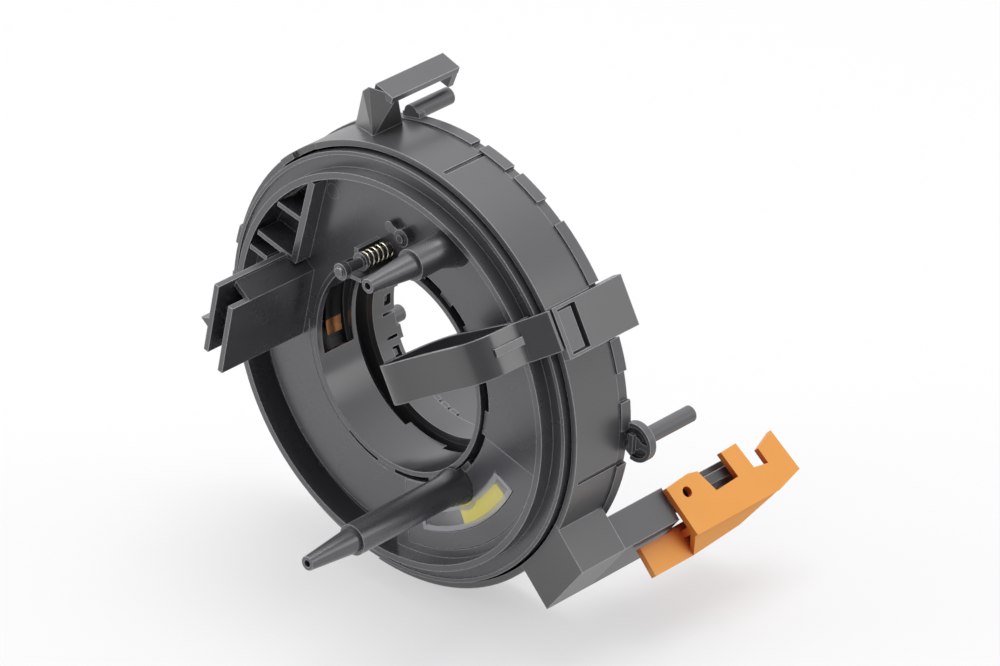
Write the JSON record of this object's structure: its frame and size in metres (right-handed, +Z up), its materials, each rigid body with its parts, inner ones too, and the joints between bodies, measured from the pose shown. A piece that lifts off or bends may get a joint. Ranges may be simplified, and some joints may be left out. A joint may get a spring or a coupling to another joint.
{
  "type": "steering clock spring",
  "caption": "Steering column clock spring: black rotor in a round housing, pull-off transport clip, yellow centre mark and an orange locked tail connector.",
  "frame": {"origin": "middle of the bore at the rear mounting face of the housing flange", "axes": "+Y backwards along the bore axis towards the steering column, -Y towards the steering wheel, +Z up towards the top hook, +X to the right seen from the steering wheel"},
  "size_m": [0.1069, 0.1095, 0.1101],
  "materials": {
    "housing_black": "satin",
    "cover_black": "satin",
    "connector_black": "satin",
    "lock_orange": "satin",
    "rotor_black": "gloss",
    "tube_black": "gloss",
    "marker_grey": "gloss",
    "clear_lens": "clear",
    "copper_foil": "bright",
    "ribbon_film": "satin",
    "spring_steel": "bright",
    "carrier_natural": "satin",
    "marker_yellow": "satin",
    "clip_black": "gloss",
    "tinned_contact": "bright"
  },
  "bodies": {
    "stator": {"stator_housing": "housing_black", "rear_cover": "cover_black", "tail_connector": "connector_black", "tail_contact_1": "tinned_contact", "tail_contact_2": "tinned_contact", "tail_contact_3": "tinned_contact", "tail_contact_4": "tinned_contact", "tail_contact_5": "tinned_contact", "tail_contact_6": "tinned_contact", "outer_carrier": "connector_black", "ribbon_cable": "ribbon_film"},
    "rotor": {"rotor_disc": "rotor_black", "bore_tube": "tube_black", "marker_plate": "marker_grey", "lens": "clear_lens", "upper_guide_tip": "rotor_black", "lower_guide_tip": "rotor_black", "inner_carrier": "connector_black", "ribbon_lead": "copper_foil", "shroud_contact_1": "tinned_contact", "shroud_contact_2": "tinned_contact", "shroud_contact_3": "tinned_contact", "shroud_contact_4": "tinned_contact", "lock_spring": "spring_steel"},
    "bolt": {"lock_bolt": "tube_black"},
    "latch": {"latch_lever": "tube_black"},
    "carrier": {"carrier_ring": "carrier_natural", "yellow_segment": "marker_yellow"},
    "clip": {"transport_clip": "clip_black"},
    "plug_lock": {"connector_lock": "lock_orange"}
  },
  "joints": [
    {"name": "rotor_turn", "type": "hinge", "parent": "stator", "child": "rotor", "pos_m": [0, 0, 0], "axis": [0, 1, 0], "range_deg": [-900, 900], "deforming": ["ribbon_cable"]},
    {"name": "carrier_turn", "type": "hinge", "parent": "stator", "child": "carrier", "pos_m": [0, 0, 0], "axis": [0, 1, 0], "range_deg": [-360, 360]},
    {"name": "bolt_slide", "type": "slide", "parent": "rotor", "child": "bolt", "axis": [0, 1, 0], "range_m": [0, 0.003], "stiffness_N_per_m": 150, "deforming": ["lock_spring"]},
    {"name": "latch_swing", "type": "hinge", "parent": "rotor", "child": "latch", "pos_m": [0.0028, -0.0165, 0.032], "axis": [0, 1, 0], "range_deg": [-25, 10]},
    {"name": "clip_pull", "type": "slide", "parent": "rotor", "child": "clip", "axis": [0, -1, 0], "range_m": [0, 0.03]},
    {"name": "lock_slide", "type": "slide", "parent": "stator", "child": "plug_lock", "axis": [0, 1, 0], "range_m": [0, 0.012]}
  ],
  "couplings": [
    {"joint": "carrier_turn", "follows": "rotor_turn", "ratio": 0.4}
  ]
}
